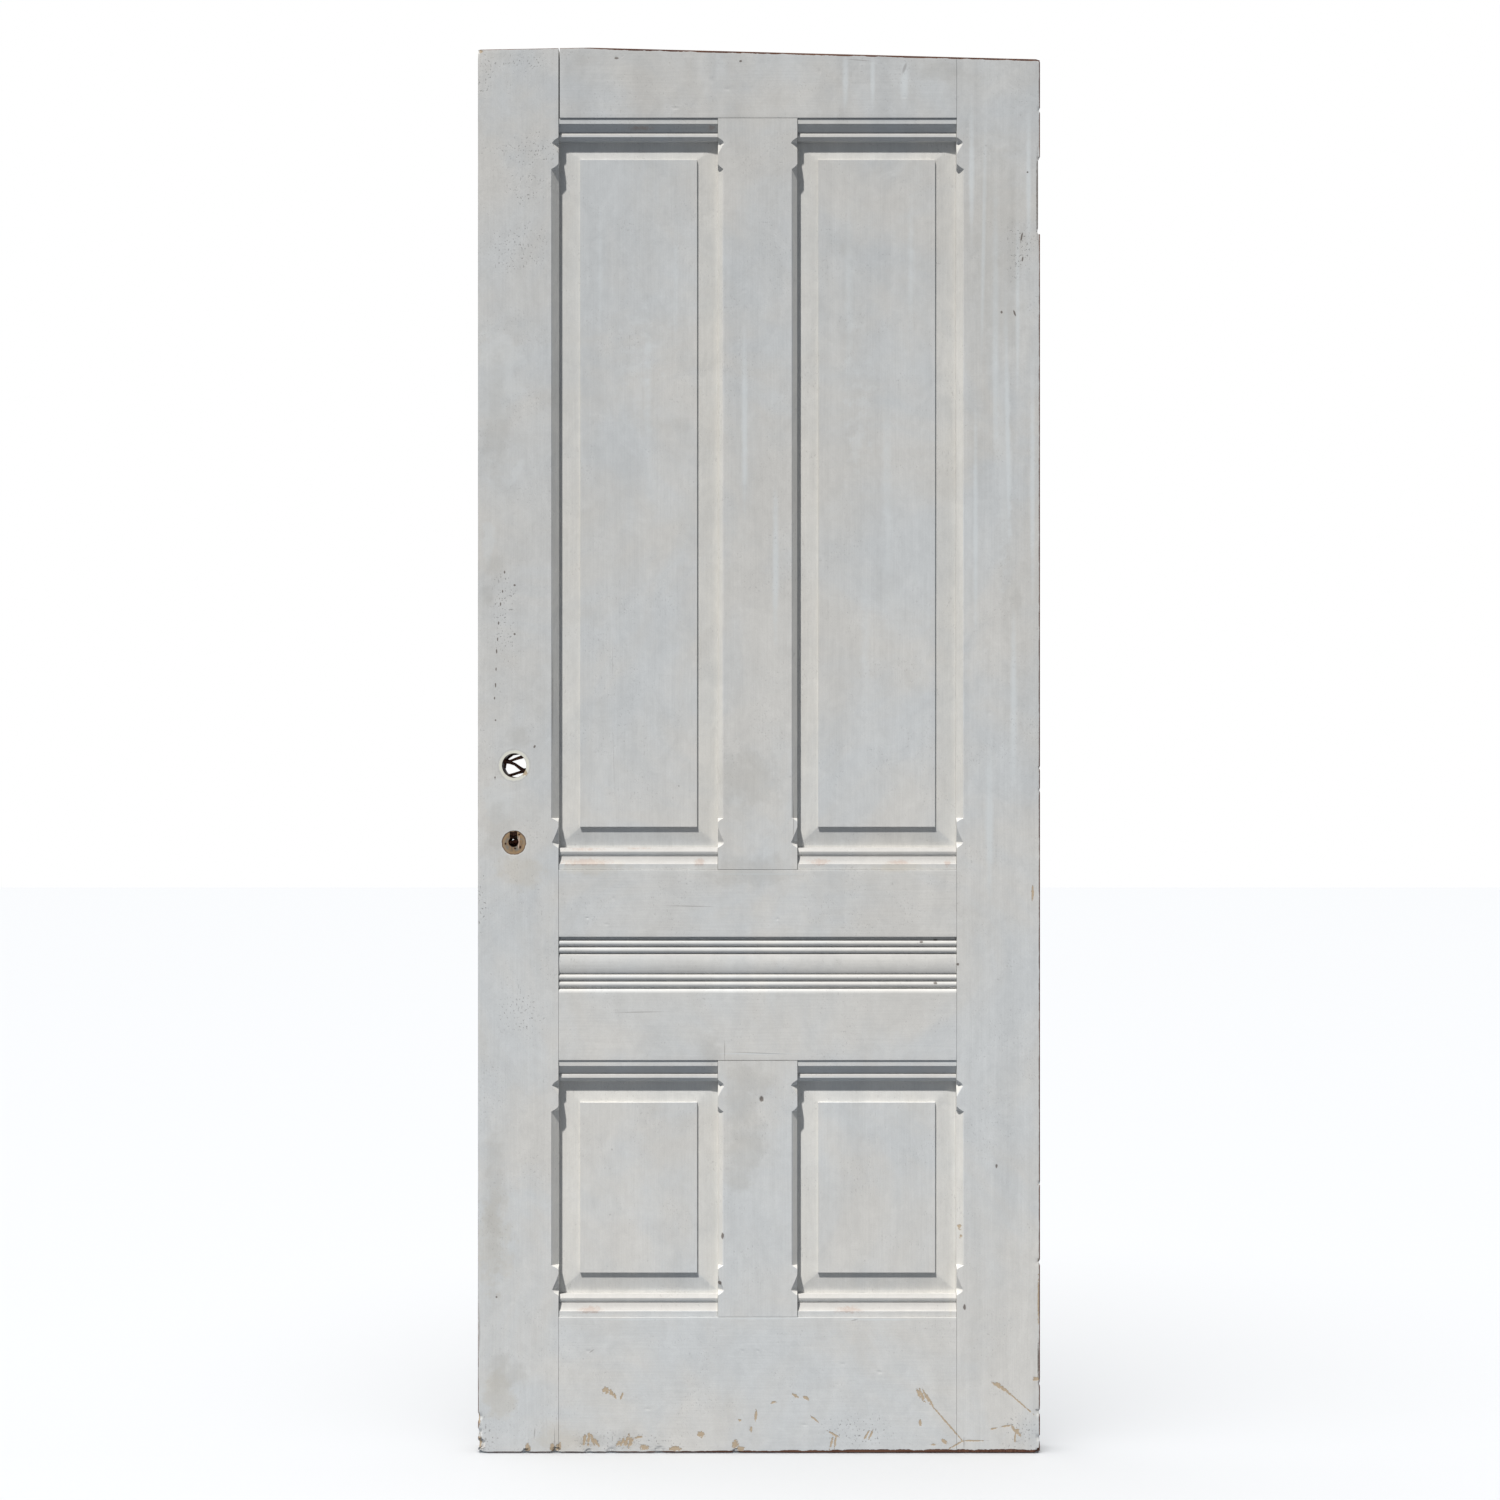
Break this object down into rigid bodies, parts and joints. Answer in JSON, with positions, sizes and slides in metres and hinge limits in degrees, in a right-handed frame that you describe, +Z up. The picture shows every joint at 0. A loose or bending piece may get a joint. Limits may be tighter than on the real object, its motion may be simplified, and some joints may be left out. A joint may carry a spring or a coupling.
{
  "type": "framed and panelled wooden door leaf",
  "caption": "Tall framed pine door leaf with raised panels, stopped chamfers, moulded panel ends and a reeded band at lock height.",
  "frame": {"origin": "middle of the lower hinge gain's floor, on the hinge edge of the leaf", "axes": "+X out of the hinge edge, +Y out of the plain back face, +Z up the height of the leaf"},
  "size_m": [0.813, 0.0445, 2.032],
  "materials": {
    "painted_frame": "old matt grey-white paint on pine, chipped to bare brown wood at the edges",
    "painted_panel": "old matt grey-white paint on pine, creamier on the bevels",
    "painted_moulding": "old matt grey-white paint on pine moulding, dirt in the quirks",
    "painted_band": "old matt grey-white paint on reeded pine, dirt in the valleys"
  },
  "bodies": {
    "root": {"lock_stile": "painted_frame", "hinge_stile": "painted_frame", "bottom_rail": "painted_frame", "lower_lock_rail": "painted_frame", "upper_lock_rail": "painted_frame", "top_rail": "painted_frame", "upper_muntin": "painted_frame", "lower_muntin": "painted_frame", "reeded_band": "painted_band", "upper_left_panel": "painted_panel", "upper_right_panel": "painted_panel", "lower_left_panel": "painted_panel", "lower_right_panel": "painted_panel", "upper_left_head_moulding": "painted_moulding", "upper_left_foot_moulding": "painted_moulding", "upper_right_head_moulding": "painted_moulding", "upper_right_foot_moulding": "painted_moulding", "lower_left_head_moulding": "painted_moulding", "lower_left_foot_moulding": "painted_moulding", "lower_right_head_moulding": "painted_moulding", "lower_right_foot_moulding": "painted_moulding"}
  },
  "joints": []
}
